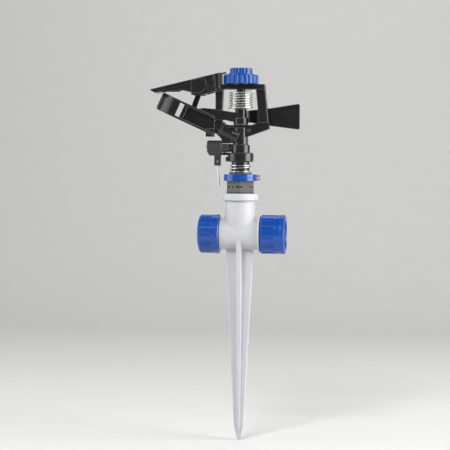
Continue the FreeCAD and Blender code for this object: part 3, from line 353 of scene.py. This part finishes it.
def make_arm_spring():
    """The drive arm's torsion spring: a wide foot turn, a barrel, and a top tail that ends in a hook."""
    low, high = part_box("arm_spring")
    foot = low.z + SPRING_WIRE
    top = high.z - SPRING_WIRE
    barrel = high.x - SPRING_WIRE
    flare = 1.0 * MM
    flare_fade = 7.0

    def reach(share):
        return barrel + flare * max(0.0, 1.0 - share * flare_fade)

    coil = helix((0.0, 0.0), reach, foot, top, turns=6.25, start=-165.0)
    leave = coil[-1]
    foot_tail = [Vector((-10.9 * MM, -1.2 * MM, foot)), Vector((-11.2 * MM, -2.2 * MM, foot))]
    tail_steps = (
        (2.4, 0.4, 0.9), (4.4, 1.0, 1.8), (7.4, 1.8, 1.9),
        (9.0, 2.4, 1.5), (9.4, 2.7, 0.4), (8.2, 2.5, -0.5),
    )
    top_tail = [leave + Vector(step) * MM for step in tail_steps]
    piece = wire("arm_spring_wound", foot_tail + coil + top_tail, SPRING_WIRE, WIRE)
    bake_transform(piece)
    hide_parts("arm_spring")


def make_bearing_spring():
    """The spring that keeps the bearing tight: a flat foot, one slanted turn and a flat top."""
    low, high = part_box("bearing_spring")
    radius = high.x - SPRING_WIRE
    room = high.z - low.z - 2.0 * SPRING_WIRE
    # The share of the room that the wire has climbed, at angles in degrees.
    climbs = {
        100: 0.0, 180: 0.0, 270: 0.02, 360: 0.07, 450: 0.20,
        540: 0.46, 630: 0.72, 720: 0.95, 810: 1.0, 900: 1.0,
    }
    degrees_per_step = 12
    marks = sorted(climbs)
    points = []
    for start, end in zip(marks, marks[1:]):
        count = max(2, (end - start) // degrees_per_step)
        for step in range(count):
            share = step / count
            angle = math.radians(start + share * (end - start))
            climb = climbs[start] + share * (climbs[end] - climbs[start])
            points.append(Vector((
                radius * math.cos(angle), radius * math.sin(angle), low.z + SPRING_WIRE + climb * room,
            )))
    piece = wire("bearing_spring_wound", points, SPRING_WIRE, WIRE)
    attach(piece, "head")
    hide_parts("bearing_spring")


def make_trip_spring():
    """The little snap spring between the head's cup and the trip lever."""
    low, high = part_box("trip_spring")
    centre = ((low.x + high.x) / 2, (low.y + high.y) / 2)
    radius = (high.x - low.x) / 2 - TRIP_WIRE
    coil = helix(centre, radius, low.z + TRIP_WIRE, high.z - TRIP_WIRE, turns=2.5, per_turn=18)
    piece = wire("trip_spring_wound", coil, TRIP_WIRE, WIRE, roundness=3)
    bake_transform(piece)
    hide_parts("trip_spring")


def make_hose_thread():
    """The thread ridge inside the hose coupling, half sunk in its wall."""
    radius, pitch = 13.25 * MM, 2.21 * MM
    start, end = 31.0 * MM, 40.0 * MM
    upright = helix((0.0, 0.0), radius, start, end, turns=(end - start) / pitch)
    points = [Vector((point.z, point.x, BARREL_Z + point.y)) for point in upright]
    piece = wire("hose_thread_ridge", points, THREAD_RIDGE, BLUE)
    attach(piece, "hose_swivel")


# ---------------------------------------------------------------- stage


def make_floor():
    """A pale floor under the spike's tip that curves up into a far wall."""
    tree = Tree("pale_floor")
    speckle = tree.noise(40.0, detail=4.0)
    material = tree.set(
        Base_Color=tree.mixed(speckle, colour(0.68, 0.68, 0.67), colour(0.72, 0.72, 0.71)),
        Roughness=0.8,
    )
    half, front, back, wall = 3.0, -3.0, 1.8, 3.0
    radius, steps = 0.8, 12
    ground = cad_low.z
    profile = [(front, ground)]
    for step in range(steps + 1):
        angle = math.pi / 2 * step / steps
        along = back - radius + radius * math.sin(angle)
        profile.append((along, ground + radius * (1.0 - math.cos(angle))))
    profile.append((back, ground + wall))
    mesh = bpy.data.meshes.new("floor")
    build = bmesh.new()
    rows = [[build.verts.new((side, y, z)) for side in (-half, half)] for y, z in profile]
    for near, far in zip(rows, rows[1:]):
        build.faces.new((near[0], near[1], far[1], far[0])).smooth = True
    build.to_mesh(mesh)
    build.free()
    mesh.materials.append(material)
    floor = bpy.data.objects.new("floor", mesh)
    bpy.context.scene.collection.objects.link(floor)


def softbox(name, at, target, width, height, watts, mirrored=True):
    """A rectangular area light aimed at a point. mirrored is False where shiny parts don't show it."""
    lamp = bpy.data.lights.new(name, "AREA")
    lamp.shape = "RECTANGLE"
    lamp.size = width
    lamp.size_y = height
    lamp.energy = watts
    holder = bpy.data.objects.new(name, lamp)
    holder.location = at
    holder.rotation_euler = (Vector(target) - Vector(at)).to_track_quat("-Z", "Y").to_euler()
    holder.visible_glossy = mirrored
    bpy.context.scene.collection.objects.link(holder)


def make_lights():
    """Two tall side boxes, a front light, a small one for glints, one behind and a pale world."""
    middle = (0.0, 0.0, 0.05)
    softbox("left_box", (-1.11, -0.30, 0.15), middle, width=0.9, height=1.7, watts=12.5)
    softbox("right_box", (1.125, -0.24, 0.15), middle, width=0.95, height=1.7, watts=33.0)
    softbox("front_box", (-0.35, -1.4, 1.2), middle, width=0.7, height=0.5, watts=21.0,
            mirrored=False)
    softbox("glint_box", (-0.40, -0.95, 0.95), middle, width=0.14, height=0.14, watts=1.3)
    softbox("back_box", (0.1, 0.9, 1.4), (0.0, 0.5, 0.0), width=1.6, height=0.6, watts=4.0)
    world = bpy.data.worlds.new("world")
    world.use_nodes = True
    background = world.node_tree.nodes["Background"]
    background.inputs["Color"].default_value = colour(0.95, 0.97, 1.0)
    background.inputs["Strength"].default_value = 0.16
    bpy.context.scene.world = world


def make_camera():
    """A long lens, a little above level and a little to the right of the front."""
    azimuth, elevation, roll = math.radians(6.7), math.radians(2.0), math.radians(0.4)
    distance = 1.5
    target = Vector((-13.7 * MM, 0.0, 22.5 * MM))
    back = Vector((
        math.sin(azimuth) * math.cos(elevation), -math.cos(azimuth) * math.cos(elevation),
        math.sin(elevation),
    ))
    data = bpy.data.cameras.new("camera")
    data.sensor_width = 36.0
    data.lens = 133.0
    data.clip_start = 0.05
    data.clip_end = 50.0
    camera = bpy.data.objects.new("camera", data)
    camera.location = target + back * distance
    turn = (-back).to_track_quat("-Z", "Y").to_matrix() @ Matrix.Rotation(roll, 3, "Z")
    camera.rotation_euler = turn.to_euler()
    bpy.context.scene.collection.objects.link(camera)
    bpy.context.scene.camera = camera


finish_nodes()
make_arm_spring()
make_bearing_spring()
make_trip_spring()
make_hose_thread()
make_floor()
make_lights()
make_camera()
bpy.context.scene.view_settings.view_transform = "Standard"
